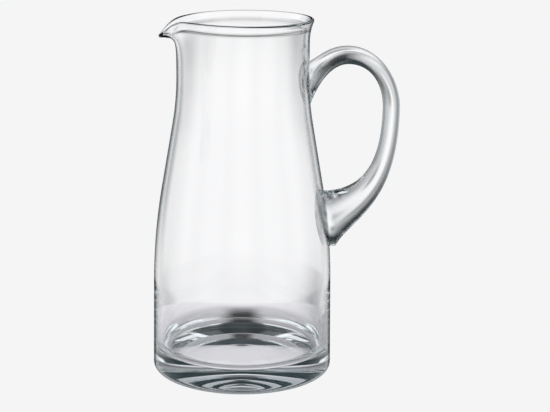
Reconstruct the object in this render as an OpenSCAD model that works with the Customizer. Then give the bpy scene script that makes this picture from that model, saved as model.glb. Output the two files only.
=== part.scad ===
// Clear glass pitcher: a blown vessel with a heavy base, a flared rim and a
// pulled pouring lip, and a solid drawn handle fused to the wall at two pads.
// Millimetres. +Z is up, the origin is the centre of the resting face, the
// handle points to +X and the pouring lip to -X.

/* [Vessel outline] */
// Height of the rim above the resting face
pitcher_h = 237.4; // [230:0.2:260]
// Outer radius just above the foot
foot_r = 60; // [59.5:0.25:66]
// Outer radius where the straight belly ends
belly_r = 58.95; // [55:0.05:64]
// Height at which the belly line would meet the shoulder cone
shoulder_h = 94; // [84:1:104]
// Rounding between the belly and the shoulder cone
shoulder_round_r = 400; // [150:10:480]
// Outer radius of the straight neck
neck_r = 43.4; // [40:0.2:47]
// Height at which the shoulder cone would meet the neck
neck_h = 184.2; // [176:0.2:192]
// Rounding between the shoulder cone and the neck
neck_round_r = 188; // [100:4:240]
// Height of the flared stretch under the rim
flare_h = 13.5; // [10:0.5:20]
// How far the rim stands out from the neck
flare = 2.65; // [1:0.05:5]

/* [Wall and base] */
// Thickness of the rounded rim
rim_wall = 2.6; // [2:0.1:3.4]
// Thickness of the bead under the rim
bead_wall = 3.8; // [3.2:0.1:4.6]
// Depth of the bead below the rim
bead_drop = 6; // [4:0.5:9]
// Thickness of the wall at the neck
neck_wall = 3.2; // [2.4:0.1:4.5]
// Thickness of the wall at the bottom of the belly
belly_wall = 5; // [3.5:0.1:7]
// Thickness of the base under the edge of the inner floor
base_t = 15.2; // [13:0.1:20]
// How far the middle of the inner floor lies below its edge
floor_dish = 2.4; // [0.5:0.1:4.5]
// Rounding between the inner floor and the wall
floor_round_r = 8.5; // [5:0.5:14]
// Rounding of the outer bottom edge
foot_round_r = 5; // [2.5:0.5:6]
// Radius of the hollow under the base
punt_r = 53; // [42:0.5:54]
// Depth of the hollow under the base
punt_depth = 6.5; // [1:0.1:8]

/* [Pouring lip] */
// Depth below the rim at which the lip starts to leave the round neck
lip_depth = 45; // [38:1:52]
// How far the tip of the lip is pulled outwards
lip_pull = 8.9; // [6:0.2:12]
// How far the tip of the lip droops
lip_droop = 9.4; // [5:0.2:11]
// Angle round the axis over which the pull fades
lip_pull_spread = 16; // [10:0.5:20]
// Angle round the axis over which the droop fades
lip_droop_spread = 14.5; // [8:0.5:18]
// Angle round the axis over which the pinch beside the lip fades
lip_pinch_spread = 50; // [38:1:60]

/* [Handle] */
// Height of the upper pad's top edge
upper_pad_top_h = 207.5; // [203:0.5:211]
// Height of the upper pad's bottom edge
upper_pad_bottom_h = 180; // [173:0.5:185]
// Width of the upper pad
upper_pad_w = 24; // [18:0.5:28]
// Distance of the arch's top from the axis
arch_x = 69.6; // [65:0.2:75]
// Height of the arch's top
arch_h = 218; // [214:0.4:223]
// Thickness of the handle at the arch
arch_t = 11.9; // [9:0.1:15]
// Width of the handle at the arch
arch_w = 18.5; // [12:0.1:22]
// Distance of the outermost point from the axis
handle_reach = 105.4; // [98:0.2:114]
// Height of the outermost point
grip_h = 176.5; // [168:0.5:183]
// Thickness of the handle at the grip
grip_t = 11.3; // [9:0.1:14]
// Width of the handle at the grip
grip_w = 12; // [10:0.2:18]
// Height of the lower pad's top edge
lower_pad_top_h = 120.8; // [112:0.4:127]
// Height of the lower pad's bottom edge
lower_pad_bottom_h = 83; // [76:0.5:90]
// Width of the lower pad
lower_pad_w = 34; // [24:0.5:40]
// Thickness of the lower pad's drawn-out tail
lower_tail_t = 4.1; // [3:0.1:7]

/* [Hidden] */

// The finished glass, as light and slightly green as it looks in daylight
glass_colour = [0.84, 0.9, 0.89, 0.5];

// Room left between a fused pad and the wall that it sits on
weld_gap = 0.15;
// Steps for finding the slope of the worked wall
skin_probe = 0.1;
skin_probe_angle = 0.3;
// Thickness of the lower pad along its thin upper edge
pad_edge_t = 0.9;
// Step left where the worked neck ring stands in the turned body
ring_inset = 0.05;
// Depth by which the worked neck ring reaches into the turned body
ring_seat = 0.6;

// How steeply the hollow under the base falls off towards its edge
punt_power = 1.6;

// Smoothness: points on a rounded corner, on the rim and on a straight stretch
corner_steps = 14;
rim_steps = 8;
wall_steps = 12;
neck_steps = 6;
flare_steps = 9;
floor_steps = 12;
turn_fn = 144;

// Part of a stretch that a rounded corner may take up, alone or with a second corner on it
lone_corner_share = 0.96;
paired_corner_share = 0.48;

// How steeply the lip's pull, droop and pinch grow towards the rim
pull_power = 6;
droop_power = 5.5;
pinch_power = 2.5;
// How far the pinch narrows the rim beside the lip
pinch_share = 0.42;
// Columns of points round the ring, and how strongly they crowd round the lip
ring_columns = 80;
lip_crowd_share = 0.62;

// Steps along each of the handle's three stretches, and round its section
edge_steps = [14, 16, 20];
section_sides = 24;
// Rings on a pad's seat, as shares of the pad's size
seat_shares = [0.25, 0.5, 0.75, 1];
// Pull of the edge curves, as shares of the stretch that each one spans
root_rise_shares = [0.37, 0.55];
tail_rise_shares = [0.17, 0.49];
outer_arch_share = 0.42;
inner_arch_share = 0.46;
bend_share = 0.62;
outer_bend_share = 0.41;
inner_bend_share = 0.55;
outer_drop_share = 0.73;
outer_seat_shares = [0.25, 0.2];
inner_drop_share = 0.68;
inner_seat_share = 0.69;
// How much broader the handle is on its outer side: at the upper pad, the arch, the grip and the lower pad
tail_shares = [0.1, 0.34, 0.05, -0.3];

// Rounded rim: its own radius and the circle that its centre follows
rim_r = rim_wall / 2;
rim_h = pitcher_h - rim_r;
flare_start_h = rim_h - flare_h;
flare_arc_r = (flare_h * flare_h + flare * flare) / (2 * flare);
flare_angle = asin(flare_h / flare_arc_r);
lip_root_h = pitcher_h - lip_depth;
floor_h = base_t;

// Points along an arc about a centre, from one angle to another
function arc_points(centre, r, from, to, steps) = [
    for (i = [0:steps])
        let (angle = from + (to - from) * i / steps)
        centre + r * [cos(angle), sin(angle)]
];

// Unit vector between two points, and the angle of a vector
function heading(a, b) = (b - a) / norm(b - a);
function angle_of(v) = atan2(v.y, v.x);
// The same angle, moved by whole turns to lie within half a turn of another
function near_angle(angle, other) = angle - 360 * round((angle - other) / 360);

// A corner of an outline, rounded as far as the room on its two straight legs allows
function round_corner(a, b, c, r, room) =
    let (
        back = heading(b, a),
        on = heading(b, c),
        half_turn = (180 - acos(back * on)) / 2,
        leg = min(r * tan(half_turn), room),
        radius = leg / tan(half_turn),
        centre = b + heading([0, 0], back + on) * radius / cos(half_turn),
        start = angle_of(b + back * leg - centre),
        end = angle_of(b + on * leg - centre)
    )
    arc_points(centre, radius, start, near_angle(end, start), corner_steps);

// Evenly spaced points on a straight stretch, without its two ends
function between(a, b, steps) = [for (i = [1:steps - 1]) a + (b - a) * i / steps];

// Outer outline from the foot to the start of the rounded rim, as [radius, height]
foot_point = [foot_r, foot_round_r];
shoulder_point = [belly_r, shoulder_h];
neck_point = [neck_r, neck_h];
flare_point = [neck_r, flare_start_h];
cone_room = paired_corner_share * norm(neck_point - shoulder_point);
belly_room = lone_corner_share * norm(shoulder_point - foot_point);
neck_room = lone_corner_share * norm(flare_point - neck_point);
shoulder_arc = round_corner(
    foot_point, shoulder_point, neck_point, shoulder_round_r, min(cone_room, belly_room)
);
neck_arc = round_corner(
    shoulder_point, neck_point, flare_point, neck_round_r, min(cone_room, neck_room)
);
flare_arc = [
    for (i = [1:flare_steps])
        let (turn = flare_angle * i / flare_steps)
        flare_point + flare_arc_r * [1 - cos(turn), sin(turn)]
];
outer_line = concat(
    [foot_point],
    between(foot_point, shoulder_arc[0], wall_steps),
    shoulder_arc,
    between(shoulder_arc[corner_steps], neck_arc[0], wall_steps),
    neck_arc,
    between(neck_arc[corner_steps], flare_point, neck_steps),
    [flare_point],
    flare_arc
);
outer_table = [for (p = outer_line) [p.y, p.x]];

// Wall thickness by height: it thins up to the neck and swells to a bead under the rim
wall_table = [
    [floor_h, belly_wall],
    [neck_h, neck_wall],
    [flare_start_h, neck_wall],
    [pitcher_h - bead_drop, bead_wall],
    [rim_h, rim_wall]
];

// Outer radius, wall thickness and inner radius at a height
function outer_r(h) = lookup(h, outer_table);
function wall_at(h) = lookup(h, wall_table);
function inner_r(h) = outer_r(h) - wall_at(h);

// Inner floor: a shallow dish that turns up into the wall
floor_corner = [inner_r(floor_h + floor_round_r) - floor_round_r, floor_h + floor_round_r];
floor_arc = arc_points(floor_corner, floor_round_r, 0, -90, corner_steps);
floor_line = [
    for (i = [1:floor_steps])
        let (share = 1 - i / floor_steps)
        [floor_corner.x * share, floor_h - floor_dish * (1 - share * share)]
];
// Hollow under the base, from the axis out to the ring that it rests on
punt_line = [
    for (i = [0:floor_steps])
        let (share = i / floor_steps)
        [punt_r * share, punt_depth * (1 - pow(share, punt_power))]
];
foot_arc = arc_points([foot_r - foot_round_r, foot_round_r], foot_round_r, -90, 0, corner_steps);

// Heights of the wall on each side of the lip's root
body_heights = [for (p = outer_line) if (p.y > foot_round_r && p.y < lip_root_h) p.y];
inner_heights = [for (h = body_heights) if (h > floor_corner.y) h];
ring_heights = [for (p = outer_line) if (p.y > lip_root_h) p.y];
inner_top = len(inner_heights) - 1;

// The turned body under the lip's root, as one closed outline
body_outline = concat(
    punt_line,
    foot_arc,
    [for (h = body_heights) [outer_r(h), h]],
    [[outer_r(lip_root_h), lip_root_h], [inner_r(lip_root_h), lip_root_h]],
    [for (i = [0:inner_top]) let (h = inner_heights[inner_top - i]) [inner_r(h), h]],
    floor_arc,
    floor_line
);

// Angles of the ring's columns from the lip, crowded round the lip
ring_angles = [
    for (i = [0:ring_columns - 1])
        let (turn = 360 * i / ring_columns - 180)
        turn - lip_crowd_share * sin(turn) * 180 / PI
];

// A bell that fades with the angle from the lip
function bell(angle, spread) = exp(-pow(angle / spread, 2));

// The middle of the wall at a height, pulled out, bent down and pinched towards the lip
function worked_middle(h, angle) =
    let (
        r = outer_r(h) - wall_at(h) / 2,
        rise_share = max((h - lip_root_h) / (rim_h - lip_root_h), 0),
        pull = lip_pull * pow(rise_share, pull_power) * bell(angle, lip_pull_spread),
        droop = lip_droop * pow(rise_share, droop_power) * bell(angle, lip_droop_spread),
        pinch = 1 - pinch_share * pow(rise_share, pinch_power) * bell(angle, lip_pinch_spread)
    )
    [-r * cos(angle) - pull, -r * sin(angle) * pinch, h - droop];

// A point on the skin of the worked wall: side 0 is the outer face, 180 the
// inner face, and the angles between them go over the rounded rim
function worked_skin(h, side, angle) =
    let (
        middle = worked_middle(h, angle),
        up = heading(worked_middle(h - skin_probe, angle), middle),
        before = worked_middle(h, angle - skin_probe_angle),
        after = worked_middle(h, angle + skin_probe_angle),
        square = cross(after - before, up),
        out = square / norm(square)
    )
    middle + (wall_at(h) / 2 - ring_inset) * (out * cos(side) + up * sin(side));

// Up the outside of the ring, over the rim and down the inside, as [height, side]
ring_stations = concat([lip_root_h - ring_seat, lip_root_h], ring_heights);
ring_top = len(ring_stations) - 1;
ring_outline = concat(
    [for (h = ring_stations) [h, 0]],
    [for (i = [1:rim_steps - 1]) [rim_h, 180 * i / rim_steps]],
    [for (i = [0:ring_top]) [ring_stations[ring_top - i], 180]]
);

// Triangles over a closed belt of points, wrapped both ways
function belt_faces(columns, rows) = [
    for (i = [0:columns - 1], j = [0:rows - 1])
        let (
            i2 = (i + 1) % columns,
            j2 = (j + 1) % rows,
            a = i * rows + j,
            b = i2 * rows + j,
            c = i2 * rows + j2,
            d = i * rows + j2
        )
        each [[a, c, b], [a, d, c]]
];

module turned_body() {
    rotate_extrude($fn = turn_fn) polygon(body_outline);
}

module lip_ring() {
    rows = len(ring_outline);
    points = [for (angle = ring_angles, p = ring_outline) worked_skin(p[0], p[1], angle)];
    polyhedron(points, belt_faces(ring_columns, rows), convexity = 6);
}

module pitcher_body() {
    color(glass_colour) {
        turned_body();
        lip_ring();
    }
}

// Handle edges as chains of cubic curves in the [distance from axis, height] plane
function wall_point(h) = [outer_r(h) + weld_gap, h];
function along(a, b, shares) = [a.x + (b.x - a.x) * shares[0], a.y + (b.y - a.y) * shares[1]];
function cubic(p, t) =
    pow(1 - t, 3) * p[0] + 3 * pow(1 - t, 2) * t * p[1] + 3 * (1 - t) * t * t * p[2] + pow(t, 3) * p[3];

upper_top = wall_point(upper_pad_top_h);
upper_bottom = wall_point(upper_pad_bottom_h);
lower_top = wall_point(lower_pad_top_h);
lower_bottom = wall_point(lower_pad_bottom_h);
lower_tail = lower_bottom + [lower_tail_t, 0];
lower_edge = lower_top + [pad_edge_t, 0];
arch_top = [arch_x, arch_h];
arch_under = [arch_x, arch_h - arch_t];
grip_out = [handle_reach, grip_h];
grip_in = [handle_reach - grip_t, grip_h];

// Each stretch is written as its start, its two pulls and its end
function stretch(a, a_shares, b_shares, b) = [a, along(a, b, a_shares), along(b, a, b_shares), b];
outer_edge = [
    stretch(upper_top, root_rise_shares, [outer_arch_share, 0], arch_top),
    stretch(arch_top, [bend_share, 0], [0, outer_bend_share], grip_out),
    stretch(grip_out, [0, outer_drop_share], outer_seat_shares, lower_tail)
];
inner_edge = [
    stretch(upper_bottom, tail_rise_shares, [inner_arch_share, 0], arch_under),
    stretch(arch_under, [bend_share, 0], [0, inner_bend_share], grip_in),
    stretch(grip_in, [0, inner_drop_share], [inner_seat_share, 0], lower_edge)
];

// A share that starts and ends its way slowly
function eased(share) = share * share * (3 - 2 * share);
// How far a section has gone from one width to the next, late at the pads
function width_passed(part, t) = [1 - pow(1 - t, 2), eased(t), t * t][part];
widths = [upper_pad_w, arch_w, grip_w, lower_pad_w];

// One free section of the handle, between its two edges
function section(part, t) =
    let (
        outside = cubic(outer_edge[part], t),
        inside = cubic(inner_edge[part], t),
        middle = (outside + inside) / 2,
        half = (outside - inside) / 2,
        half_w = (widths[part] + (widths[part + 1] - widths[part]) * width_passed(part, t)) / 2,
        tail_share = tail_shares[part] + (tail_shares[part + 1] - tail_shares[part]) * eased(t)
    )
    [
        for (i = [0:section_sides - 1])
            let (turn = 360 * i / section_sides)
            [
                middle.x + half.x * cos(turn),
                half_w * sin(turn) * (1 + tail_share * cos(turn)),
                middle.y + half.y * cos(turn)
            ]
    ];

// One ring of a pad's seat, laid on the outside of the wall
function seat_ring(top, bottom, pad_w, tail_share, size_share) =
    let (middle = (top + bottom) / 2, half = (top - bottom) / 2)
    [
        for (i = [0:section_sides - 1])
            let (
                turn = 360 * i / section_sides,
                h = middle.y + half.y * cos(turn) * size_share,
                across = pad_w / 2 * sin(turn) * (1 + tail_share * cos(turn)) * size_share,
                seat_r = outer_r(h) + weld_gap
            )
            [sqrt(seat_r * seat_r - across * across), across, h]
    ];

function seat_middle(top, bottom) =
    let (h = (top.y + bottom.y) / 2)
    [outer_r(h) + weld_gap, 0, h];

// Triangles of a closed tube of rings, with a fan to a middle point at each end
function tube_faces(rings, sides) = concat(
    [for (j = [0:sides - 1]) [0, 1 + (j + 1) % sides, 1 + j]],
    [
        for (i = [0:rings - 2], j = [0:sides - 1])
            let (
                j2 = (j + 1) % sides,
                a = 1 + i * sides + j,
                b = 1 + i * sides + j2,
                c = b + sides,
                d = a + sides
            )
            each [[a, b, c], [a, c, d]]
    ],
    [
        for (j = [0:sides - 1])
            let (last = 1 + (rings - 1) * sides)
            [last + sides, last + j, last + (j + 1) % sides]
    ]
);

module handle() {
    seats = len(seat_shares) - 1;
    upper_seat = [
        for (share = seat_shares)
            seat_ring(upper_top, upper_bottom, upper_pad_w, tail_shares[0], share)
    ];
    lower_seat = [
        for (i = [0:seats])
            seat_ring(lower_bottom, lower_top, lower_pad_w, tail_shares[3], seat_shares[seats - i])
    ];
    free = [for (k = [0:2], i = [1:edge_steps[k]]) section(k, i / edge_steps[k])];
    rings = concat(upper_seat, free, lower_seat);
    points = concat(
        [seat_middle(upper_top, upper_bottom)],
        [for (ring = rings) each ring],
        [seat_middle(lower_top, lower_bottom)]
    );
    color(glass_colour) polyhedron(points, tube_faces(len(rings), section_sides), convexity = 6);
}

pitcher_body();
handle();
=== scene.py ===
"""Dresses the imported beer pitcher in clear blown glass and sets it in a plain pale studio.

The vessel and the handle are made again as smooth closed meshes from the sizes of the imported
solids. The vessel is one Geometry Nodes tree that turns an outline and works the pouring lip
out of the rim. The handle is lofted between its two edge curves, from pad to pad. Where the
upper pad is fused to the wall, both skins are left clear, so that light passes from one piece
into the other as it does in one body of glass.

Metres. +Z is up, the handle points to +X and the pouring lip to -X.
"""

import logging
import math
from dataclasses import dataclass, field, fields
from enum import Enum
from typing import Any, Iterable, Sequence

import bmesh
import bpy
from mathutils import Euler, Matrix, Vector
from mathutils.geometry import interpolate_bezier


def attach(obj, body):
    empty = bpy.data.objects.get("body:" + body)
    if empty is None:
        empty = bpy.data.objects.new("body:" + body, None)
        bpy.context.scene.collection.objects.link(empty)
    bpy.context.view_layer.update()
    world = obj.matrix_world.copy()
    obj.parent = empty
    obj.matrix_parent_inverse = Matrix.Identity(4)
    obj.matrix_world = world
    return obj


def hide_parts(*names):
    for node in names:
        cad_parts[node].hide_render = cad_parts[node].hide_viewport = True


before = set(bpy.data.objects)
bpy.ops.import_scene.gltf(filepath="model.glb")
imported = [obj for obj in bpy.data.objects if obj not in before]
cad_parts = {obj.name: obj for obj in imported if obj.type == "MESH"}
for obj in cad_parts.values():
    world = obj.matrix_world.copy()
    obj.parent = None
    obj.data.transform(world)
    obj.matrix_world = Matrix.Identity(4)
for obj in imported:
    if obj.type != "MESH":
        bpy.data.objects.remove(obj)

Colour = tuple[float, float, float, float]
Span = tuple[float, float]
Tones = tuple[tuple[float, float], ...]
Socket = bpy.types.NodeSocket
Tree = bpy.types.NodeTree

LOG = logging.getLogger("pitcher")
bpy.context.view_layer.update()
BODY = "root"
MM = 0.001
BLACK: Colour = (0.0, 0.0, 0.0, 1.0)
HALF_TURN = 180.0
SQUARE = 2.0
FLOAT = "NodeSocketFloat"
VECTOR = "NodeSocketVector"
COLOUR = "NodeSocketColor"
GEOMETRY = "NodeSocketGeometry"


class WallFace(Enum):
    """The two faces of the worked wall, as the angle from the wall's outward direction."""

    OUTSIDE = 0.0
    INSIDE = math.pi


class Wires:
    """Adds nodes to one node tree and joins them."""

    MIX_INPUTS = (0, 6, 7)
    MIX_RESULT = 2

    def __init__(self, tree: Tree) -> None:
        """Keeps the tree that the nodes go into."""
        self.tree = tree

    def node(self, kind: str, values: dict[Any, Any] | None = None, **settings: Any) -> bpy.types.Node:
        """Adds one node.

        Args:
            kind: Blender's name of the node type.
            values: Name or index of an input to a socket to join, or to a plain value to set.
            settings: Properties of the node itself.

        Returns:
            The new node.
        """
        made = self.tree.nodes.new(kind)
        for name, value in settings.items():
            setattr(made, name, value)
        for place, value in (values or {}).items():
            if isinstance(value, Socket):
                self.tree.links.new(value, made.inputs[place])
            else:
                made.inputs[place].default_value = value
        return made

    def math(self, operation: str, *values: Any) -> Socket:
        """Adds a Math node for sockets or numbers in order, and returns its socket."""
        return self.node("ShaderNodeMath", dict(enumerate(values)), operation=operation).outputs["Value"]

    def product(self, first: Any, *others: Any) -> Socket:
        """Multiplies sockets or numbers in order, and returns the last product's socket."""
        for other in others:
            first = self.math("MULTIPLY", first, other)
        return first

    def negative(self, value: Any) -> Socket:
        """Turns a value's sign, and returns its socket."""
        return self.math("MULTIPLY", value, -1.0)

    def rest(self, share: Any) -> Socket:
        """Takes a share from 1, and returns the socket of what is left."""
        return self.math("SUBTRACT", 1.0, share)

    def vector(self, operation: str, *values: Any) -> Socket:
        """Adds a Vector Math node for sockets or vectors in order, and returns its socket."""
        made = self.node("ShaderNodeVectorMath", dict(enumerate(values)), operation=operation)
        return made.outputs["Vector"]

    def scaled(self, vector: Any, scale: Any) -> Socket:
        """Adds a Vector Math node that scales a vector, and returns its socket."""
        made = self.node("ShaderNodeVectorMath", {"Vector": vector, "Scale": scale}, operation="SCALE")
        return made.outputs["Vector"]

    def xyz(self, x: Any, y: Any, z: Any) -> Socket:
        """Joins three numbers into a vector, and returns its socket."""
        return self.node("ShaderNodeCombineXYZ", {"X": x, "Y": y, "Z": z}).outputs["Vector"]

    def parts(self, vector: Any) -> tuple[Socket, ...]:
        """Splits a vector, and returns the sockets of its x, y and z."""
        return tuple(self.node("ShaderNodeSeparateXYZ", {"Vector": vector}).outputs)

    def ramp(self, value: Any, span: tuple[Any, Any]) -> Socket:
        """Adds a soft step from 0 to 1 over a span, and returns its socket."""
        values = {"Value": value, "From Min": span[0], "From Max": span[1]}
        return self.node("ShaderNodeMapRange", values, interpolation_type="SMOOTHSTEP").outputs["Result"]

    def mixed(self, share: Any, one: Any, two: Any) -> Socket:
        """Adds a mix from one colour to another, and returns its socket."""
        values = dict(zip(self.MIX_INPUTS, (share, one, two)))
        made = self.node("ShaderNodeMix", values, data_type="RGBA", clamp_factor=False)
        return made.outputs[self.MIX_RESULT]

    def tones(self, value: Any, stops: Tones) -> Socket:
        """Adds a smooth curve of grey tones.

        Args:
            value: What the tones go by.
            stops: Pairs of a value and its tone, in order.

        Returns:
            The tone's socket.
        """
        low, high = stops[0][0], stops[-1][0]
        share = self.node("ShaderNodeMapRange", {"Value": value, "From Min": low, "From Max": high})
        curve = self.node("ShaderNodeValToRGB", {"Fac": share.outputs["Result"]})
        marks = curve.color_ramp.elements
        for _ in stops[2:]:
            marks.new(1.0)
        for mark, (place, tone) in zip(marks, stops):
            mark.position = (place - low) / (high - low)
            mark.color = (tone, tone, tone, 1.0)
        curve.color_ramp.interpolation = "B_SPLINE"
        return curve.outputs["Color"]


def new_group(name: str, kind: str, inputs: dict[str, str], outputs: dict[str, str]) -> tuple[Wires, Any]:
    """Makes a node group with named sockets.

    Args:
        name: The group's name.
        kind: Blender's type of node tree.
        inputs: Input name to its socket type.
        outputs: Output name to its socket type.

    Returns:
        The wires of the group, and its given inputs by name.
    """
    tree = bpy.data.node_groups.new(name, kind)
    for way, sockets in (("INPUT", inputs), ("OUTPUT", outputs)):
        for label, socket_type in sockets.items():
            tree.interface.new_socket(label, in_out=way, socket_type=socket_type)
    wires = Wires(tree)
    return wires, wires.node("NodeGroupInput").outputs


def bare_wires(owner: bpy.types.Material | bpy.types.World) -> Wires:
    """Gives a material or a world an empty node tree, and returns its wires."""
    owner.use_nodes = True
    owner.node_tree.nodes.clear()
    return Wires(owner.node_tree)


def labelled(sizes: Any) -> dict[str, Any]:
    """The fields of a dataclass by the names of a node tree's inputs."""
    return {f.name.replace("_", " ").capitalize(): getattr(sizes, f.name) for f in fields(sizes)}


def linked(name: str, data: bpy.types.ID) -> bpy.types.Object:
    """Makes an object of some data, and links it to the scene."""
    made = bpy.data.objects.new(name, data)
    bpy.context.scene.collection.objects.link(made)
    return made


def shares(count: int) -> list[float]:
    """Even shares from 0 to 1, both among them."""
    return [i / count for i in range(count + 1)]


def arc(centre: Vector, radius: float, start: float, end: float, steps: int) -> list[Vector]:
    """Points along an arc in the plane of the outline.

    Args:
        centre: Centre of the arc, as radius and height.
        radius: Radius of the arc.
        start: First angle, in radians.
        end: Last angle, in radians.
        steps: Number of stretches between the points.

    Returns:
        The points, both ends among them.
    """
    turns = (start + (end - start) * s for s in shares(steps))
    return [centre + radius * Vector((math.cos(a), math.sin(a))) for a in turns]


def between(a: Vector, b: Vector, step: float) -> list[Vector]:
    """Evenly spaced points from a to b, without b, about one step apart."""
    count = max(1, round((b - a).length / step))
    return [a.lerp(b, s) for s in shares(count)[:-1]]


def heights(low: float, high: float, step: float) -> list[float]:
    """Evenly spaced heights from low to high, both among them, about one step apart."""
    count = max(1, round((high - low) / step))
    return [low + (high - low) * s for s in shares(count)]


def rounded_corner(a: Vector, b: Vector, c: Vector, radius: float, room: float, steps: int) -> list[Vector]:
    """The corner at b between the legs to a and c, rounded as far as the room on the legs allows.

    Args:
        a: Point before the corner.
        b: The corner.
        c: Point after the corner.
        radius: Wanted radius.
        room: Longest stretch of a leg that the rounding may take.
        steps: Number of stretches along the arc.

    Returns:
        Points along the arc, both ends among them.
    """
    back, on = (a - b).normalized(), (c - b).normalized()
    half_turn = (math.pi - back.angle(on)) / 2
    leg = min(radius * math.tan(half_turn), room)
    radius = leg / math.tan(half_turn)
    centre = b + (back + on).normalized() * radius / math.cos(half_turn)
    first, last = b + back * leg - centre, b + on * leg - centre
    start = math.atan2(first.y, first.x)
    end = math.atan2(last.y, last.x)
    end -= math.tau * round((end - start) / math.tau)
    return arc(centre, radius, start, end, steps)


def read_table(table: Sequence[Vector], height: float) -> float:
    """Reads a table of (value, height) points at a height, with straight lines between them."""
    if height <= table[0].y:
        return table[0].x
    for low, high in zip(table, table[1:]):
        if height <= high.y:
            return low.x + (high.x - low.x) * (height - low.y) / (high.y - low.y)
    return table[-1].x


def eased_share(share: float) -> float:
    """A share that starts and ends its way slowly."""
    return share * share * (3 - 2 * share)


def eased(a: Vector, b: Vector, steps: int) -> list[Vector]:
    """Points of a table that goes softly from one (value, height) point to the next one."""
    way = b - a
    return [a + Vector((way.x * eased_share(s), way.y * s)) for s in shares(steps)]


@dataclass(frozen=True)
class Station:
    """One row of the vessel's closed outline.

    Attributes:
        radius: Distance of the row's middle from the axis.
        height: Height of the row's middle.
        slope: Change of the middle's radius with its height.
        half_wall: Distance of the skin from the middle.
        side: Direction of the skin from the middle, from a WallFace angle to the other.
        outside: 1 on the outer face and 0 elsewhere.
    """

    radius: float
    height: float
    slope: float = 0.0
    half_wall: float = 0.0
    side: float = 0.0
    outside: float = 0.0


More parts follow.
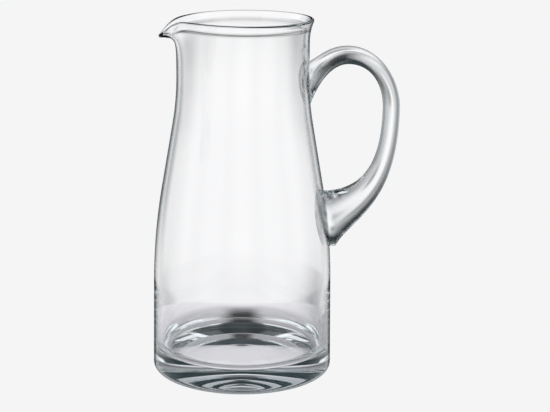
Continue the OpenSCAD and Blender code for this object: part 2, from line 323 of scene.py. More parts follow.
@dataclass
class Outline:
    """The vessel's outline: its outer line, its wall, its base and its rim."""

    rim_top: float = 237.4 * MM
    foot_r: float = 60 * MM
    belly_r: float = 58.95 * MM
    shoulder_h: float = 94 * MM
    shoulder_round_r: float = 400 * MM
    neck_r: float = 43.4 * MM
    neck_h: float = 184.2 * MM
    neck_round_r: float = 188 * MM
    flare_h: float = 13.5 * MM
    flare: float = 2.65 * MM
    rim_wall: float = 2.5 * MM
    bead_wall: float = 3.1 * MM
    bead_drop: float = 4.7 * MM
    bead_depth: float = 7.4 * MM
    neck_wall: float = 2.5 * MM
    mid_wall: float = 3 * MM
    mid_wall_h: float = 62 * MM
    belly_wall: float = 5 * MM
    base_t: float = 15.2 * MM
    floor_dish: float = 2.4 * MM
    floor_round_r: float = 8.5 * MM
    foot_round_r: float = 5 * MM
    punt_r: float = 53 * MM
    punt_depth: float = 6.5 * MM
    punt_power: float = 1.6
    lip_depth: float = 45 * MM
    wall_step: float = 2 * MM
    ring_step: float = 1 * MM
    probe: float = 0.1 * MM
    corner_room_share: float = 0.96
    cone_room_share: float = 0.48
    long_arc_steps: int = 72
    short_arc_steps: int = 20
    rim_h: float = field(init=False)
    lip_root_h: float = field(init=False)
    outer_line: list[Vector] = field(init=False)
    wall_line: list[Vector] = field(init=False)

    def __post_init__(self) -> None:
        """Works out the rim, the outer line and the wall from the sizes."""
        self.rim_h = self.rim_top - self.rim_wall / 2
        self.lip_root_h = self.rim_top - self.lip_depth
        foot = Vector((self.foot_r, self.foot_round_r))
        shoulder = Vector((self.belly_r, self.shoulder_h))
        neck = Vector((self.neck_r, self.neck_h))
        flare = Vector((self.neck_r, self.rim_h - self.flare_h))
        cone_room = self.cone_room_share * (neck - shoulder).length
        belly_room = min(cone_room, self.corner_room_share * (shoulder - foot).length)
        neck_room = min(cone_room, self.corner_room_share * (flare - neck).length)
        flare_r = (self.flare_h**2 + self.flare**2) / (2 * self.flare)
        flare_turn = math.asin(self.flare_h / flare_r)
        steps = self.short_arc_steps
        self.outer_line = [
            foot,
            *rounded_corner(foot, shoulder, neck, self.shoulder_round_r, belly_room, self.long_arc_steps),
            *rounded_corner(shoulder, neck, flare, self.neck_round_r, neck_room, self.long_arc_steps),
            *arc(flare + Vector((flare_r, 0)), flare_r, math.pi, math.pi - flare_turn, steps),
        ]
        bead_start = Vector((self.neck_wall, self.rim_top - self.bead_depth))
        bead = Vector((self.bead_wall, self.rim_top - self.bead_drop))
        self.wall_line = [
            Vector((self.belly_wall, self.base_t)),
            Vector((self.mid_wall, self.mid_wall_h)),
            Vector((self.neck_wall, self.neck_h)),
            *eased(bead_start, bead, steps),
            *eased(bead, Vector((self.rim_wall, self.rim_h)), steps)[1:],
        ]

    def outer_r(self, height: float) -> float:
        """Outer radius of the vessel at a height."""
        return read_table(self.outer_line, height)

    def wall(self, height: float) -> float:
        """Thickness of the wall at a height."""
        return read_table(self.wall_line, height)

    def inner_r(self, height: float) -> float:
        """Inner radius of the vessel at a height."""
        return self.outer_r(height) - self.wall(height)

    def middle_r(self, height: float) -> float:
        """Radius of the middle of the wall at a height."""
        return self.outer_r(height) - self.wall(height) / 2

    def turned(self, points: Iterable[Vector], outside: bool = False) -> list[Station]:
        """Rows of the turned body, which lie on the skin itself."""
        return [Station(p.x, p.y, outside=float(outside)) for p in points]

    def worked(self, height: float, side: float) -> Station:
        """One row of the worked wall above the lip's root."""
        radius = self.middle_r(height)
        slope = (radius - self.middle_r(height - self.probe)) / self.probe
        outside = float(side == WallFace.OUTSIDE.value)
        return Station(radius, height, slope, self.wall(height) / 2, side, outside)

    def stations(self) -> list[Station]:
        """The closed outline, from the axis under the base round to the axis on the inner floor."""
        steps = self.short_arc_steps
        punt = [
            Vector((self.punt_r * s, self.punt_depth * (1 - s**self.punt_power)))
            for s in shares(self.long_arc_steps)[:-1]
        ]
        foot_centre = Vector((self.foot_r - self.foot_round_r, self.foot_round_r))
        ring = between(Vector((self.punt_r, 0)), Vector((foot_centre.x, 0)), self.ring_step)
        foot = arc(foot_centre, self.foot_round_r, -math.pi / 2, 0, steps)
        floor_turn_h = self.base_t + self.floor_round_r
        corner = Vector((self.inner_r(floor_turn_h) - self.floor_round_r, floor_turn_h))
        bend = arc(corner, self.floor_round_r, 0, -math.pi / 2, steps)
        dish = [
            Vector((corner.x * s, self.base_t - self.floor_dish * (1 - s * s)))
            for s in reversed(shares(steps)[:-1])
        ]
        outer = heights(self.foot_round_r, self.lip_root_h, self.wall_step)[1:]
        inner = heights(self.lip_root_h, floor_turn_h, -self.wall_step)[:-1]
        worked = heights(self.lip_root_h, self.rim_h, self.ring_step)[1:]
        rim = [math.pi * s for s in shares(steps)[1:-1]]
        return [
            *self.turned(punt + ring),
            *self.turned(foot, True),
            *self.turned((Vector((self.outer_r(h), h)) for h in outer), True),
            *(self.worked(h, WallFace.OUTSIDE.value) for h in worked),
            *(self.worked(self.rim_h, side) for side in rim),
            *(self.worked(h, WallFace.INSIDE.value) for h in reversed(worked)),
            *self.turned(Vector((self.inner_r(h), h)) for h in inner),
            *self.turned(bend + dish),
        ]


@dataclass(frozen=True)
class PouringLip:
    """How far, how wide and how steeply the lip is pulled, drooped and pinched from the rim."""

    pull: float = 8.9 * MM
    droop: float = 9.4 * MM
    pinch_share: float = 0.42
    pull_spread: float = math.radians(16)
    droop_spread: float = math.radians(14.5)
    pinch_spread: float = math.radians(50)
    pull_power: float = 6.0
    droop_power: float = 5.5
    pinch_power: float = 2.5

    def sizes(self, outline: Outline) -> dict[str, float]:
        """The lip's sizes by the names of the node tree's inputs."""
        return {"Root height": outline.lip_root_h, "Rim height": outline.rim_h, **labelled(self)}


@dataclass(frozen=True)
class PadSeat:
    """The outline of a pad on the vessel's wall.

    Attributes:
        wide_end_h: Height of the end towards which the pad is laid out.
        other_end_h: Height of the opposite end.
        width: Width of the pad.
        tail_share: Widening towards the first end, and narrowing towards the other.
    """

    wide_end_h: float
    other_end_h: float
    width: float
    tail_share: float

    @property
    def middle_h(self) -> float:
        """Height of the pad's middle."""
        return (self.wide_end_h + self.other_end_h) / 2

    @property
    def half_h(self) -> float:
        """Half of the pad's height, negative where it is laid out downwards."""
        return (self.wide_end_h - self.other_end_h) / 2

    def middle_part(self, share: float) -> "PadSeat":
        """The same seat, shrunk about its middle."""
        reach = self.half_h * share
        return PadSeat(self.middle_h + reach, self.middle_h - reach, self.width * share, self.tail_share)

    def point(self, outline: Outline, turn: float, share: float, gap: float) -> Vector:
        """A point of the seat on the outside of the wall.

        Args:
            outline: The vessel's outline.
            turn: Angle round the seat.
            share: Share of the seat's size.
            gap: Distance from the wall.

        Returns:
            The point.
        """
        height = self.middle_h + self.half_h * math.cos(turn) * share
        across = self.width / 2 * math.sin(turn) * (1 + self.tail_share * math.cos(turn)) * share
        radius = outline.outer_r(height) + gap
        return Vector((math.sqrt(radius * radius - across * across), across, height))


@dataclass(frozen=True)
class ClearGlass:
    """Clear soda-lime glass with a faint grey-green body colour and a slightly wavy skin.

    Painted shade: the colour of upright faces is painted darker where they turn away from the view,
    a painted reflection of the dark room that the edges of real glass mirror.

    Attributes:
        tint: Colour of the skin that faces the view.
        depth_colour: Colour that light takes on its way through the glass.
        depth_density: How soon it takes that colour.
        shade_colour: Colour of the painted shade on the skin that is turned away.
        skin_tones: Lightness of the painted shade, from 0 where the skin faces the view to 1 where it is
            turned away.
        facing_blend: Evenness of that turn.
        upright_span: Upward parts of the normal between which a face counts less and less as upright.
        shade_rise: Heights between which the painted shade comes in.
        ior: How strongly the glass bends light.
        roughness: Roughness of the skin.
        wave_size: Length of the skin's waves.
        wave_depth: Depth of the skin's waves.
        wave_detail: Finer waves within the waves.
    """

    tint: Colour = (1.0, 1.0, 1.0, 1.0)
    depth_colour: Colour = (0.74, 0.88, 0.9, 1.0)
    depth_density: float = 3.0
    shade_colour: Colour = (0.0, 0.04, 0.06, 1.0)
    # painted shade: lightness painted on the skin by how far it turns away from the view
    skin_tones: Tones = (
        (0, 1.0), (0.6, 1.0), (0.66, 0.96), (0.71, 0.6), (0.76, 0.2), (0.82, 0.12), (1, 0.14),
    )
    facing_blend: float = 0.5
    upright_span: Span = (0.3, 0.85)
    shade_rise: Span = (56 * MM, 122 * MM)
    ior: float = 1.52
    roughness: float = 0.0
    wave_size: float = 26 * MM
    wave_depth: float = 0.004 * MM
    wave_detail: float = 1.0

    def seat_group(self) -> Tree:
        """Builds the node group that marks the inside of a fused pad's outline.

        Returns:
            The group, with a mask that is 1 on the seat.
        """
        sizes = ("Middle height", "Half height", "Half width", "Tail share")
        inputs = {"Position": VECTOR, **dict.fromkeys(sizes, FLOAT)}
        wires, given = new_group("Fused seat", "ShaderNodeTree", inputs, {"Mask": FLOAT})
        x, y, z = wires.parts(given["Position"])
        along = wires.math("DIVIDE", wires.math("SUBTRACT", z, given["Middle height"]), given["Half height"])
        rise = wires.math("SQRT", wires.math("MAXIMUM", wires.rest(wires.product(along, along)), 0.0))
        taper = wires.math("MULTIPLY_ADD", given["Tail share"], along, 1.0)
        limit = wires.product(given["Half width"], rise, taper)
        inside = wires.math("LESS_THAN", wires.math("ABSOLUTE", y), limit)
        wires.node("NodeGroupOutput", {"Mask": wires.product(inside, wires.math("GREATER_THAN", x, 0.0))})
        return wires.tree

    def wave_group(self) -> Tree:
        """Builds the node group for the slow waves of a blown skin.

        Returns:
            The group, with a height in metres.
        """
        name = "Blown waves"
        if name in bpy.data.node_groups:
            return bpy.data.node_groups[name]
        inputs = {"Position": VECTOR, "Wave size": FLOAT, "Wave depth": FLOAT, "Wave detail": FLOAT}
        wires, given = new_group(name, "ShaderNodeTree", inputs, {"Height": FLOAT})
        scale = wires.math("DIVIDE", 1.0, given["Wave size"])
        values = {"Vector": given["Position"], "Scale": scale, "Detail": given["Wave detail"]}
        noise = wires.node("ShaderNodeTexNoise", values)
        wires.node("NodeGroupOutput", {"Height": wires.product(noise.outputs["Fac"], given["Wave depth"])})
        return wires.tree

    def skin(self, wires: Wires, place: Socket) -> Socket:
        """Paints shade into the skin's colour where an upright face turns away from the view.

        Args:
            wires: The wires of the material.
            place: The socket of the place on the piece.

        Returns:
            The socket of the skin's colour with its painted shade.
        """
        # painted shade: the Layer Weight facing darkens the colour, a painted reflection of the dark room
        facing = wires.node("ShaderNodeLayerWeight", {"Blend": self.facing_blend}).outputs["Facing"]
        shaded = wires.mixed(wires.tones(facing, self.skin_tones), self.shade_colour, self.tint)
        _, _, upward = wires.parts(wires.node("ShaderNodeNewGeometry").outputs["Normal"])
        upright = wires.rest(wires.ramp(wires.math("ABSOLUTE", upward), self.upright_span))
        _, _, height = wires.parts(place)
        return wires.mixed(wires.product(upright, wires.ramp(height, self.shade_rise)), self.tint, shaded)

    def material(self, name: str, seat_attribute: str, seat: PadSeat | None = None) -> bpy.types.Material:
        """Makes the glass of one piece.

        Args:
            name: The material's name.
            seat_attribute: The mesh attribute that marks the fused faces, or the faces that a seat is on.
            seat: The pad that is fused onto this piece's outer face, if there is one.

        Returns:
            The material.
        """
        made = bpy.data.materials.new(name)
        wires = bare_wires(made)
        place = wires.node("ShaderNodeTexCoord").outputs["Object"]
        fused = wires.node("ShaderNodeAttribute", attribute_name=seat_attribute).outputs["Fac"]
        if seat:
            sizes = {
                "Position": place,
                "Middle height": seat.middle_h,
                "Half height": seat.half_h,
                "Half width": seat.width / 2,
                "Tail share": seat.tail_share,
            }
            mask = wires.node("ShaderNodeGroup", sizes, node_tree=self.seat_group())
            fused = wires.product(mask.outputs["Mask"], fused)
        sizes = {
            "Position": place,
            "Wave size": self.wave_size,
            "Wave depth": self.wave_depth,
            "Wave detail": self.wave_detail,
        }
        waves = wires.node("ShaderNodeGroup", sizes, node_tree=self.wave_group())
        bump = wires.node(
            "ShaderNodeBump", {"Height": waves.outputs["Height"], "Distance": 1.0, "Strength": 1.0}
        )
        glass = wires.node(
            "ShaderNodeBsdfPrincipled",
            {
                # base colour with the painted shade of the glass's edges
                "Base Color": self.skin(wires, place),
                "Roughness": self.roughness,
                "IOR": self.ior,
                "Transmission Weight": 1.0,
                "Alpha": wires.rest(fused),
                "Normal": bump.outputs["Normal"],
            },
        )
        depth = wires.node(
            "ShaderNodeVolumeAbsorption", {"Color": self.depth_colour, "Density": self.depth_density}
        )
        ends = {"Surface": glass.outputs["BSDF"], "Volume": depth.outputs["Volume"]}
        wires.node("ShaderNodeOutputMaterial", ends)
        return made


@dataclass(frozen=True)
class SolidGlass(ClearGlass):
    """The same glass as a solid rod, whose painted shade is darkest between its middle and its edge."""

    # painted shade of the rod's edges, by how far the skin turns away from the view
    skin_tones: Tones = (
        (0, 1.0), (0.05, 1.0), (0.1, 0.88), (0.15, 0.68), (0.2, 0.5), (0.28, 0.28), (0.36, 0.14),
        (0.45, 0.16), (0.55, 0.26), (0.7, 0.45), (0.85, 0.6), (1, 0.6),
    )
    shade_rise: Span = (0.0, 60 * MM)


@dataclass
class Vessel:
    """The blown vessel: its outline turned about the axis, with the pouring lip worked from the rim."""

    outline: Outline
    lip: PouringLip
    columns: int = 192
    crowding: float = 0.62
    probe_turn: float = math.radians(0.3)
    merge: float = 0.001 * MM
    grid: float = 1.0
    name: str = "pitcher_body_glass"

    def sizes(self) -> dict[str, float]:
        """The sizes of the turning and of the lip by the names of the tree's inputs."""
        return {
            "Crowding": self.crowding,
            "Probe": self.outline.probe,
            "Probe turn": self.probe_turn,
            "Merge distance": self.merge,
            **self.lip.sizes(self.outline),
        }

    def lip_group(self) -> Tree:
        """Builds the node group that works a point of the wall's middle towards the lip.

        Returns:
            The group, with a position for a radius, a height and an angle from the lip.
        """
        labels = ("Radius", "Height", "Angle", *self.lip.sizes(self.outline))
        inputs = dict.fromkeys(labels, FLOAT)
        wires, given = new_group("Worked middle", "GeometryNodeTree", inputs, {"Position": VECTOR})
        lift = wires.math("SUBTRACT", given["Height"], given["Root height"])
        reach = wires.math("SUBTRACT", given["Rim height"], given["Root height"])
        rise = wires.math("MAXIMUM", wires.math("DIVIDE", lift, reach), 0.0)

        def effect(size: str) -> Socket:
            """How strongly one effect shows: it grows with the rise and fades round the axis."""
            turn = wires.math("DIVIDE", given["Angle"], given[f"{size} spread"])
            bell = wires.math("EXPONENT", wires.negative(wires.math("POWER", turn, SQUARE)))
            return wires.product(wires.math("POWER", rise, given[f"{size} power"]), bell)

        pull = wires.product(given["Pull"], effect("Pull"))
        droop = wires.product(given["Droop"], effect("Droop"))
        pinch = wires.rest(wires.product(given["Pinch share"], effect("Pinch")))
        ahead = wires.product(given["Radius"], wires.math("COSINE", given["Angle"]))
        aside = wires.product(given["Radius"], wires.math("SINE", given["Angle"]))
        x = wires.negative(wires.math("ADD", ahead, pull))
        y = wires.negative(wires.product(aside, pinch))
        z = wires.math("SUBTRACT", given["Height"], droop)
        wires.node("NodeGroupOutput", {"Position": wires.xyz(x, y, z)})
        return wires.tree

    def tree(self) -> Tree:
        """Builds the tree that turns the outline's rows and works the lip.

        Returns:
            The tree, with the outline as its geometry and the sizes as its named inputs.
        """
        inputs = {"Outline": GEOMETRY, "Columns": "NodeSocketInt", "Glass": "NodeSocketMaterial"}
        inputs.update(dict.fromkeys(self.sizes(), FLOAT))
        wires, given = new_group("Blown vessel", "GeometryNodeTree", inputs, {"Geometry": GEOMETRY})
        size = wires.node("GeometryNodeAttributeDomainSize", {"Geometry": given["Outline"]}, component="MESH")
        rows = size.outputs["Point Count"]
        counts = {"Vertices X": wires.math("ADD", given["Columns"], 1), "Vertices Y": rows}
        grid = wires.node("GeometryNodeMeshGrid", {"Size X": self.grid, "Size Y": self.grid, **counts})
        u, v, _ = wires.parts(wires.node("GeometryNodeInputPosition").outputs["Position"])
        last_row = wires.math("SUBTRACT", rows, 1)
        row = wires.math("ROUND", wires.product(wires.math("ADD", v, self.grid / 2), last_row))

        def of_row(value: Socket, data_type: str) -> Socket:
            """A value of the outline at the grid point's own row."""
            values = {"Geometry": given["Outline"], "Value": value, "Index": row}
            sample = wires.node("GeometryNodeSampleIndex", values, data_type=data_type, domain="POINT")
            return sample.outputs["Value"]

        def named(label: str) -> Socket:
            """A named value of the outline at the grid point's own row."""
            read = wires.node("GeometryNodeInputNamedAttribute", {"Name": label}, data_type="FLOAT")
            return of_row(read.outputs["Attribute"], "FLOAT")

        point = of_row(wires.node("GeometryNodeInputPosition").outputs["Position"], "FLOAT_VECTOR")
        radius, _, height = wires.parts(point)
        turn = wires.product(u, math.tau)
        crowded = wires.product(given["Crowding"], wires.math("SINE", turn))
        angle = wires.math("SUBTRACT", turn, crowded)
        group = self.lip_group()
        lip_sizes = {label: given[label] for label in self.lip.sizes(self.outline)}

        def worked(r: Any, h: Any, a: Any) -> Socket:
            """The worked position of a point of the wall's middle."""
            values = {"Radius": r, "Height": h, "Angle": a, **lip_sizes}
            return wires.node("GeometryNodeGroup", values, node_tree=group).outputs["Position"]

        middle = worked(radius, height, angle)
        lower_radius = wires.math("SUBTRACT", radius, wires.product(named("slope"), given["Probe"]))
        below = worked(lower_radius, wires.math("SUBTRACT", height, given["Probe"]), angle)
        before = worked(radius, height, wires.math("SUBTRACT", angle, given["Probe turn"]))
        after = worked(radius, height, wires.math("ADD", angle, given["Probe turn"]))
        up = wires.vector("NORMALIZE", wires.vector("SUBTRACT", middle, below))
        square = wires.vector("CROSS_PRODUCT", wires.vector("SUBTRACT", after, before), up)
        out = wires.vector("NORMALIZE", square)
        side = named("side")
        outward = wires.scaled(out, wires.math("COSINE", side))
        lean = wires.vector("ADD", outward, wires.scaled(up, wires.math("SINE", side)))
        skin = wires.vector("ADD", middle, wires.scaled(lean, named("half_wall")))
        outside = {"Name": "outside", "Value": named("outside")}

        def step(mesh: Socket, kind: str, values: dict[str, Any], **settings: Any) -> Socket:
            """Adds the next step of the mesh, and returns its socket."""
            return wires.node(kind, {"Geometry": mesh, **values}, **settings).outputs["Geometry"]

        mesh = step(grid.outputs["Mesh"], "GeometryNodeSetPosition", {"Position": skin})
        mesh = step(mesh, "GeometryNodeStoreNamedAttribute", outside, data_type="FLOAT", domain="POINT")
        mesh = step(mesh, "GeometryNodeMergeByDistance", {"Distance": given["Merge distance"]})
        mesh = step(mesh, "GeometryNodeSetShadeSmooth", {})
        mesh = step(mesh, "GeometryNodeRealizeInstances", {})
        mesh = step(mesh, "GeometryNodeSetMaterial", {"Material": given["Glass"]})
        wires.node("NodeGroupOutput", {"Geometry": mesh})
        return wires.tree

    def outline_mesh(self) -> bpy.types.Mesh:
        """The outline's rows as a line of points with their values."""
        rows = self.outline.stations()
        mesh = bpy.data.meshes.new("pitcher_outline")
        points = [(s.radius, 0.0, s.height) for s in rows]
        mesh.from_pydata(points, [(i, i + 1) for i in range(len(rows) - 1)], [])
        for label in ("slope", "half_wall", "side", "outside"):
            values = mesh.attributes.new(label, "FLOAT", "POINT")
            values.data.foreach_set("value", [getattr(s, label) for s in rows])
        return mesh

    def build(self, glass: bpy.types.Material) -> None:
        """Makes the vessel and sets it on its body.

        Args:
            glass: The vessel's material.
        """
        made = linked(self.name, self.outline_mesh())
        tree = self.tree()
        modifier = made.modifiers.new("Blown vessel", "NODES")
        modifier.node_group = tree
        values = {"Columns": self.columns, "Glass": glass, **self.sizes()}
        for item in tree.interface.items_tree:
            if item.in_out == "INPUT" and item.name in values:
                modifier[item.identifier] = values[item.name]
        ready = made.evaluated_get(bpy.context.evaluated_depsgraph_get())
        mesh = bpy.data.meshes.new_from_object(ready)
        made.modifiers.clear()
        made.data = mesh
        face_outwards(mesh)
        settle(made, "pitcher_body")


@dataclass
class LoopHandle:
    """The drawn glass handle, from its pad on the neck over the loop to its pad under the shoulder."""

    outline: Outline
    upper_pad_top_h: float = 207.5 * MM
    upper_pad_bottom_h: float = 180 * MM
    upper_pad_w: float = 24 * MM
    arch_x: float = 69.6 * MM
    arch_h: float = 218 * MM
    arch_t: float = 11.9 * MM
    arch_w: float = 18.5 * MM
    reach: float = 105.4 * MM
    grip_h: float = 176.5 * MM
    grip_t: float = 11.3 * MM
    grip_w: float = 12 * MM
    lower_pad_top_h: float = 120.8 * MM
    lower_pad_bottom_h: float = 83 * MM
    lower_pad_w: float = 28 * MM
    lower_tail_t: float = 4.1 * MM
    pad_edge_t: float = 0.9 * MM
    width_power: float = 2.0
    upper_tail_share: float = 0.1
    arch_tail_share: float = 0.34
    grip_tail_share: float = 0.05
    lower_tail_share: float = 0.12
    root_rise_shares: Span = (0.37, 0.55)
    tail_rise_shares: Span = (0.17, 0.49)
    outer_arch_share: float = 0.42
    inner_arch_share: float = 0.46
    bend_share: float = 0.62
    outer_bend_share: float = 0.41
    inner_bend_share: float = 0.55
    outer_drop_share: float = 0.73
    outer_seat_shares: Span = (0.25, 0.2)
    inner_drop_share: float = 0.68
    inner_seat_share: float = 0.69
    seat_gap: float = 0.02 * MM
    sides: int = 72
    seat_rings: int = 12
    fused_rings: int = 3
    stretch_steps: int = 40
    name: str = "handle_glass"

    @property
    def upper_seat(self) -> PadSeat:
        """The seat of the pad on the neck."""
        return PadSeat(self.upper_pad_top_h, self.upper_pad_bottom_h, self.upper_pad_w, self.upper_tail_share)

    @property
    def lower_seat(self) -> PadSeat:
        """The seat of the pad under the shoulder."""
        return PadSeat(self.lower_pad_bottom_h, self.lower_pad_top_h, self.lower_pad_w, self.lower_tail_share)

    @property
    def fused_seat(self) -> PadSeat:
        """The part of the upper seat that is fused to the wall."""
        return self.upper_seat.middle_part(self.fused_rings / self.seat_rings)

    def on_wall(self, height: float, off: float = 0.0) -> Vector:
        """A point on the outside of the wall, as distance from the axis and height."""
        return Vector((self.outline.outer_r(height) + self.seat_gap + off, height))

    def edges(self) -> tuple[list[list[Vector]], list[list[Vector]]]:
        """The outer and inner edge curves in the plane of the loop.

        Returns:
            Two chains of three stretches, each a list of points.
        """
        upper_top = self.on_wall(self.upper_pad_top_h)
        upper_bottom = self.on_wall(self.upper_pad_bottom_h)
        tail = self.on_wall(self.lower_pad_bottom_h, self.lower_tail_t)
        edge = self.on_wall(self.lower_pad_top_h, self.pad_edge_t)
        arch_top = Vector((self.arch_x, self.arch_h))
        arch_under = Vector((self.arch_x, self.arch_h - self.arch_t))
        grip_out = Vector((self.reach, self.grip_h))
        grip_in = Vector((self.reach - self.grip_t, self.grip_h))

        def stretch(a: Vector, a_shares: Span, b_shares: Span, b: Vector) -> list[Vector]:
            """A cubic stretch from a to b, with its two pulls as shares of the way between them."""
            way = b - a
            first = a + way * Vector(a_shares)
            second = b - way * Vector(b_shares)
            return interpolate_bezier(a, first, second, b, self.stretch_steps + 1)

        outer = [
            stretch(upper_top, self.root_rise_shares, (self.outer_arch_share, 0), arch_top),
            stretch(arch_top, (self.bend_share, 0), (0, self.outer_bend_share), grip_out),
            stretch(grip_out, (0, self.outer_drop_share), self.outer_seat_shares, tail),
        ]
        inner = [
            stretch(upper_bottom, self.tail_rise_shares, (self.inner_arch_share, 0), arch_under),
            stretch(arch_under, (self.bend_share, 0), (0, self.inner_bend_share), grip_in),
            stretch(grip_in, (0, self.inner_drop_share), (self.inner_seat_share, 0), edge),
        ]
        return outer, inner

    def section(self, part: int, share: float) -> tuple[float, float]:
        """The width of the section, which opens out towards the pads, and its tail share.

        Args:
            part: The stretch of the edges, from 0 at the upper pad to 2 at the lower one.
            share: The share of the stretch that is passed.

        Returns:
            The width across the loop's plane, and the share by which its outer side is broader.
        """
        widths = (self.upper_pad_w, self.arch_w, self.grip_w, self.lower_pad_w)
        tails = (self.upper_tail_share, self.arch_tail_share, self.grip_tail_share, self.lower_tail_share)
        soft = eased_share(share)
        opened = (1 - (1 - share) ** self.width_power, soft, share**self.width_power)[part]
        width = widths[part] + (widths[part + 1] - widths[part]) * opened
        return width, tails[part] + (tails[part + 1] - tails[part]) * soft

    def rings(self) -> list[list[Vector]]:
        """The handle's rings from pad to pad, with the rings on the wall at both ends."""
        turns = [math.tau * s for s in shares(self.sides)[:-1]]
        seat_shares = shares(self.seat_rings)[1:]

        def on_seat(pad: PadSeat, share: float) -> list[Vector]:
            """One ring of a pad on the wall."""
            return [pad.point(self.outline, t, share, self.seat_gap) for t in turns]

        def across(part: int, share: float, far: Vector, near: Vector) -> list[Vector]:
            """One ring of the loop between two points of its edges."""
            middle, half = (far + near) / 2, (far - near) / 2
            width, tail = self.section(part, share)
            rounds = ((math.cos(t), math.sin(t)) for t in turns)
            return [
                Vector((middle.x + half.x * c, width / 2 * s * (1 + tail * c), middle.y + half.y * c))
                for c, s in rounds
            ]

        rings = [on_seat(self.upper_seat, s) for s in seat_shares]
        for part, (outer, inner) in enumerate(zip(*self.edges())):
            points = list(zip(shares(self.stretch_steps), outer, inner))
            rings += [across(part, *point) for point in points[1:]]
        return rings + [on_seat(self.lower_seat, s) for s in reversed(seat_shares)]

    def build(self, glass: bpy.types.Material) -> None:
        """Makes the handle and sets it on its body.

        Args:
            glass: The handle's material.
        """
        mesh = bpy.data.meshes.new(self.name)
        work = bmesh.new()
        seat = work.faces.layers.float.new("seat")
        loops = [[work.verts.new(p) for p in ring] for ring in self.rings()]
        for i, (one, two) in enumerate(zip(loops, loops[1:])):
            for corners in zip(one, one[1:] + one[:1], two[1:] + two[:1], two):
                work.faces.new(corners)[seat] = float(i < self.fused_rings - 1)
        for pad, loop, fused in ((self.upper_seat, loops[0], 1.0), (self.lower_seat, loops[-1], 0.0)):
            centre = work.verts.new(pad.point(self.outline, 0.0, 0.0, self.seat_gap))
            for a, b in zip(loop, loop[1:] + loop[:1]):
                work.faces.new((a, b, centre))[seat] = fused
        for loop in (loops[self.seat_rings - 1], loops[-self.seat_rings]):
            for a, b in zip(loop, loop[1:] + loop[:1]):
                work.edges.get((a, b)).smooth = False
        for face in work.faces:
            face.smooth = True
        work.to_mesh(mesh)
        work.free()
        mesh.materials.append(glass)
        face_outwards(mesh)
        settle(linked(self.name, mesh), "handle")


def face_outwards(mesh: bpy.types.Mesh) -> None:
    """Turns the faces of a closed mesh outwards."""
    work = bmesh.new()
    work.from_mesh(mesh)
    bmesh.ops.recalc_face_normals(work, faces=work.faces)
    work.to_mesh(mesh)
    work.free()


def settle(piece: bpy.types.Object, node: str) -> None:
    """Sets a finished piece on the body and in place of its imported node.

    Args:
        piece: The finished piece.
        node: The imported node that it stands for.
    """
    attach(piece, BODY)
    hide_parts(node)
    LOG.info("%s: %d faces", piece.name, len(piece.data.polygons))


@dataclass(frozen=True)
class PhotoCamera:
    """The camera at the photograph's viewing angle."""

    azimuth: float = math.radians(-8)
    distance: float = 1.003
    height: float = 0.361
    pitch: float = math.radians(13.94)
    roll: float = 0.00342
    lens: float = 101.5
    sensor: float = 36.0
    shift_x: float = 0.0592

    def build(self) -> None:
        """Makes the camera and gives it to the scene."""
        data = bpy.data.cameras.new("photo_camera")
        data.sensor_width = self.sensor
        data.lens = self.lens
        data.shift_x = self.shift_x
        made = linked("photo_camera", data)
        aside, before = math.sin(self.azimuth), -math.cos(self.azimuth)
        made.location = (aside * self.distance, before * self.distance, self.height)
        look = Euler((math.pi / 2 - self.pitch, 0.0, self.azimuth)).to_matrix()
        tilt = Euler((0.0, 0.0, self.roll)).to_matrix()
        made.rotation_euler = (look @ tilt).to_euler()
        bpy.context.scene.camera = made


@dataclass(frozen=True)
class SoftBox:
    """A soft light panel or a grey card, by the direction that it is seen in from the pitcher.

    Attributes:
        azimuth: Degrees from the middle of the backdrop towards +X.
        elevation: Degrees above the floor.
        half_width: Half of its width, in degrees.
        half_height: Half of its height, in degrees.
        softness: Width of its soft edge, in degrees.
        colour: Its light.
    """

    azimuth: float
    elevation: float
    half_width: float
    half_height: float
    softness: float
    colour: Colour


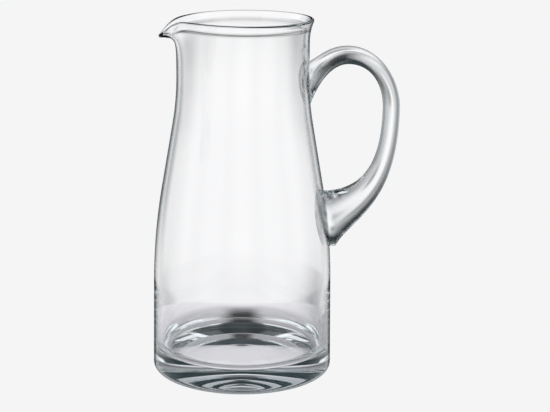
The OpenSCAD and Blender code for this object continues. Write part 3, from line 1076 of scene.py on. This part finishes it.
@dataclass(frozen=True)
class Studio:
    """A plain pale floor, a pale sweep that fades to the sides, soft panels overhead and grey cards.

    The floor and the sweep look the same everywhere to the camera itself. What is seen through the
    glass is the lit studio: bright behind the pitcher, greyer to the sides and dark above the sweep.
    The tones go by degrees aside and above, and those of the floor round the base, with its painted
    contact shadow, by millimetres from the axis.
    """

    axis: float = math.radians(8)
    backdrop: Colour = (0.913, 0.913, 0.921, 1.0)
    sweep_colour: Colour = (1.04, 1.04, 1.05, 1.0)
    aside_tones: Tones = (
        (0, 1.0), (4, 1.0), (8, 0.92), (11, 0.86), (15, 0.78), (18, 0.69), (22, 0.63), (26, 0.64), (30, 0.72),
        (33, 0.8), (37, 0.84), (41, 0.82), (45, 0.8),
    )
    height_tones: Tones = (
        (-20, 0.92), (-17, 0.95), (-13, 1.0), (-10, 0.99), (-8, 0.95), (-6, 0.88), (-3, 0.8), (0, 0.7),
        (4, 0.45), (8, 0.24), (12, 0.1), (16, 0.04), (20, 0.04),
    )
    dark: Colour = (0.005, 0.012, 0.013, 1.0)
    dark_start: Span = (8.0, 16.0)
    near_floor: Colour = (0.5, 0.5, 0.52, 1.0)
    near_floor_fall: Span = (26.0, 54.0)
    boxes: tuple[SoftBox, ...] = (
        SoftBox(0, 28, 48, 16, 5, (0.024, 0.04, 0.046, 1.0)),
        SoftBox(98, 44, 47, 24, 3, (1.1, 1.14, 1.18, 1.0)),
        SoftBox(-98, 44, 47, 24, 3, (1.1, 1.14, 1.18, 1.0)),
        SoftBox(60, 62, 42, 8, 3, (1.25, 1.3, 1.35, 1.0)),
        SoftBox(-60, 62, 42, 8, 3, (1.25, 1.3, 1.35, 1.0)),
        SoftBox(11.5, -5.5, 6.5, 3.5, 3, (0.4, 0.41, 0.41, 1.0)),
        SoftBox(-11.5, -5.5, 6.5, 3.5, 3, (0.4, 0.41, 0.41, 1.0)),
        SoftBox(11, -22, 5, 4, 3, (0.4, 0.4, 0.42, 1.0)),
        SoftBox(-14, -22, 5, 4, 3, (0.56, 0.57, 0.58, 1.0)),
    )
    reflected_share: float = 0.06
    sweep_reflected_share: float = 1.0
    reflected_start: Span = (25.0, 32.0)
    reflected_end: Span = (55.0, 95.0)
    floor_r: float = 4.0
    floor_drop: float = 0.4 * MM
    floor_sides: int = 128
    contact_r: float = 130 * MM
    contact_drop: float = 0.3 * MM
    # painted contact shadow round the foot: tones of the glow by millimetres from the axis
    contact_tones: Tones = (
        (0, 0.93), (42, 0.93), (49, 0.4), (60, 0.42), (75, 0.48), (90, 0.6), (110, 0.74), (130, 0.9),
    )
    contact_colour: Colour = (1.0, 0.99, 1.04, 1.0)
    # painted shade on the handle's side
    contact_side_start: Span = (42 * MM, 84 * MM)
    contact_side_depth: float = 0.5
    # painted shadow behind the base
    shade_half_w: Span = (16 * MM, 4 * MM)
    shade_start: Span = (38 * MM, 48 * MM)
    shade_end: Span = (66 * MM, 104 * MM)
    shade_depth: float = 0.97
    bounces: int = 32

    def disc(self, name: str, radius: float, drop: float, unseen_by: Sequence[str]) -> Wires:
        """Makes a flat disc of the stage with an empty material.

        Args:
            name: Name of the disc and its material.
            radius: Radius of the disc.
            drop: Depth of the disc below the pitcher's foot.
            unseen_by: Kinds of rays that pass the disc by.

        Returns:
            The wires of its material.
        """
        mesh = bpy.data.meshes.new(name)
        work = bmesh.new()
        bmesh.ops.create_circle(work, cap_ends=True, segments=self.floor_sides, radius=radius)
        bmesh.ops.translate(work, verts=work.verts, vec=(0, 0, -drop))
        work.to_mesh(mesh)
        work.free()
        finish = bpy.data.materials.new(name)
        mesh.materials.append(finish)
        made = linked(name, mesh)
        for ray in unseen_by:
            setattr(made, f"visible_{ray}", False)
        return bare_wires(finish)

    def shine(self, wires: Wires, colour: Any) -> None:
        """Ends a disc's material with light of its own."""
        light = wires.node("ShaderNodeEmission", {"Color": colour})
        wires.node("ShaderNodeOutputMaterial", {"Surface": light.outputs["Emission"]})

    def from_axis(self, wires: Wires, place: Socket) -> tuple[Socket, ...]:
        """Turns a place to the studio's axis, and returns its sockets aside, behind and above."""
        values = {"Vector": place, "Angle": self.axis}
        turned = wires.node("ShaderNodeVectorRotate", values, rotation_type="Z_AXIS")
        return wires.parts(turned.outputs["Vector"])

    def floor(self) -> None:
        """Makes the pale floor that the camera sees."""
        unseen_by = ("diffuse", "glossy", "transmission", "shadow")
        self.shine(self.disc("studio_floor", self.floor_r, self.floor_drop, unseen_by), self.backdrop)

    def contact(self) -> None:
        """Makes the floor round the base as the glass shows it.

        Its glow is painted light and shade: light under the hollow of the base, a painted contact shadow
        round the foot, and painted shadows behind the base and on the handle's side.
        """
        unseen_by = ("camera", "diffuse", "glossy", "shadow")
        wires = self.disc("studio_contact", self.contact_r, self.contact_drop, unseen_by)
        place = wires.node("ShaderNodeTexCoord").outputs["Object"]
        aside, behind, _ = self.from_axis(wires, place)
        across = wires.node("ShaderNodeVectorMath", {0: place}, operation="LENGTH").outputs["Value"]
        # painted contact shadow: the glow's tone by millimetres from the axis
        tone = wires.tones(wires.math("DIVIDE", across, MM), self.contact_tones)
        # painted shadow in a narrow strip behind the base
        narrow = wires.ramp(wires.math("ABSOLUTE", aside), self.shade_half_w)
        begun = wires.ramp(behind, self.shade_start)
        shade = wires.product(begun, wires.rest(wires.ramp(behind, self.shade_end)), narrow)
        kept = wires.rest(wires.product(shade, self.shade_depth))
        # painted shade on the handle's side
        painted_side_shade = wires.product(wires.ramp(aside, self.contact_side_start), self.contact_side_depth)
        share = wires.product(tone, wires.math("SUBTRACT", kept, painted_side_shade))
        self.shine(wires, wires.mixed(share, BLACK, self.contact_colour))

    def box_group(self) -> Tree:
        """Builds the node group that lays a soft panel or a card over the light around it.

        Returns:
            The group, with the light in the direction that is looked in.
        """
        colours = ("Around", "Colour")
        labels = ("Seen azimuth", "Seen elevation", "Around", *labelled(self.boxes[0]))
        inputs = {label: COLOUR if label in colours else FLOAT for label in labels}
        wires, given = new_group("Soft panel", "ShaderNodeTree", inputs, {"Light": COLOUR})
        off = wires.math("SUBTRACT", given["Seen azimuth"], given["Azimuth"])
        aside = wires.math("WRAP", off, HALF_TURN, -HALF_TURN)
        above = wires.math("SUBTRACT", given["Seen elevation"], given["Elevation"])

        def fade(offset: Socket, half: Socket) -> Socket:
            """1 within half of the panel's size and 0 beyond its soft edge."""
            edge = (wires.math(sign, half, given["Softness"]) for sign in ("ADD", "SUBTRACT"))
            return wires.ramp(wires.math("ABSOLUTE", offset), tuple(edge))

        mask = wires.product(fade(aside, given["Half width"]), fade(above, given["Half height"]))
        wires.node("NodeGroupOutput", {"Light": wires.mixed(mask, given["Around"], given["Colour"])})
        return wires.tree

    def sky(self) -> None:
        """Makes the studio's soft light."""
        world = bpy.data.worlds.new("studio_sky")
        wires = bare_wires(world)
        x, y, z = self.from_axis(wires, wires.node("ShaderNodeTexCoord").outputs["Generated"])
        azimuth = wires.math("DEGREES", wires.math("ARCTAN2", x, y))
        elevation = wires.math("DEGREES", wires.math("ARCSINE", z))

        widest = self.aside_tones[-1][0]
        aside = wires.math("ABSOLUTE", wires.math("WRAP", azimuth, widest, -widest))
        tone = wires.product(wires.tones(aside, self.aside_tones), wires.tones(elevation, self.height_tones))
        colour = wires.mixed(tone, BLACK, self.sweep_colour)
        colour = wires.mixed(wires.ramp(elevation, self.dark_start), colour, self.dark)
        fall = wires.ramp(wires.negative(elevation), self.near_floor_fall)
        colour = wires.mixed(fall, colour, self.near_floor)
        group = self.box_group()
        seen = {"Seen azimuth": azimuth, "Seen elevation": elevation}
        for box in self.boxes:
            values = {**seen, "Around": colour, **labelled(box)}
            colour = wires.node("ShaderNodeGroup", values, node_tree=group).outputs["Light"]

        turn = wires.math("ABSOLUTE", azimuth)
        ended = wires.rest(wires.ramp(turn, self.reflected_end))
        glancing = wires.product(wires.ramp(turn, self.reflected_start), ended)
        share_span = self.sweep_reflected_share - self.reflected_share
        reflected = wires.math("MULTIPLY_ADD", glancing, share_span, self.reflected_share)
        dimmed = wires.mixed(reflected, BLACK, colour)
        path = wires.node("ShaderNodeLightPath").outputs
        colour = wires.mixed(path["Is Transmission Ray"], dimmed, colour)
        colour = wires.mixed(path["Is Camera Ray"], colour, self.backdrop)
        light = wires.node("ShaderNodeBackground", {"Color": colour, "Strength": 1.0})
        wires.node("ShaderNodeOutputWorld", {"Surface": light.outputs["Background"]})
        bpy.context.scene.world = world

    def build(self) -> None:
        """Makes the floor and the light and sets how the picture is developed."""
        self.floor()
        self.contact()
        self.sky()
        scene = bpy.context.scene
        scene.view_settings.view_transform = "Standard"
        for kind in ("max", "transmission", "glossy", "transparent_max"):
            setattr(scene.cycles, f"{kind}_bounces", self.bounces)


def main() -> None:
    """Builds the camera, the vessel, the handle and the studio, in order."""
    logging.basicConfig(level=logging.INFO, format="%(name)s: %(message)s")
    PhotoCamera().build()
    outline = Outline()
    handle = LoopHandle(outline)
    vessel_glass = ClearGlass().material("vessel_glass", "outside", handle.fused_seat)
    handle_glass = SolidGlass().material("handle_glass", "seat")
    Vessel(outline, PouringLip()).build(vessel_glass)
    handle.build(handle_glass)
    Studio().build()


if __name__ == "__main__":
    main()
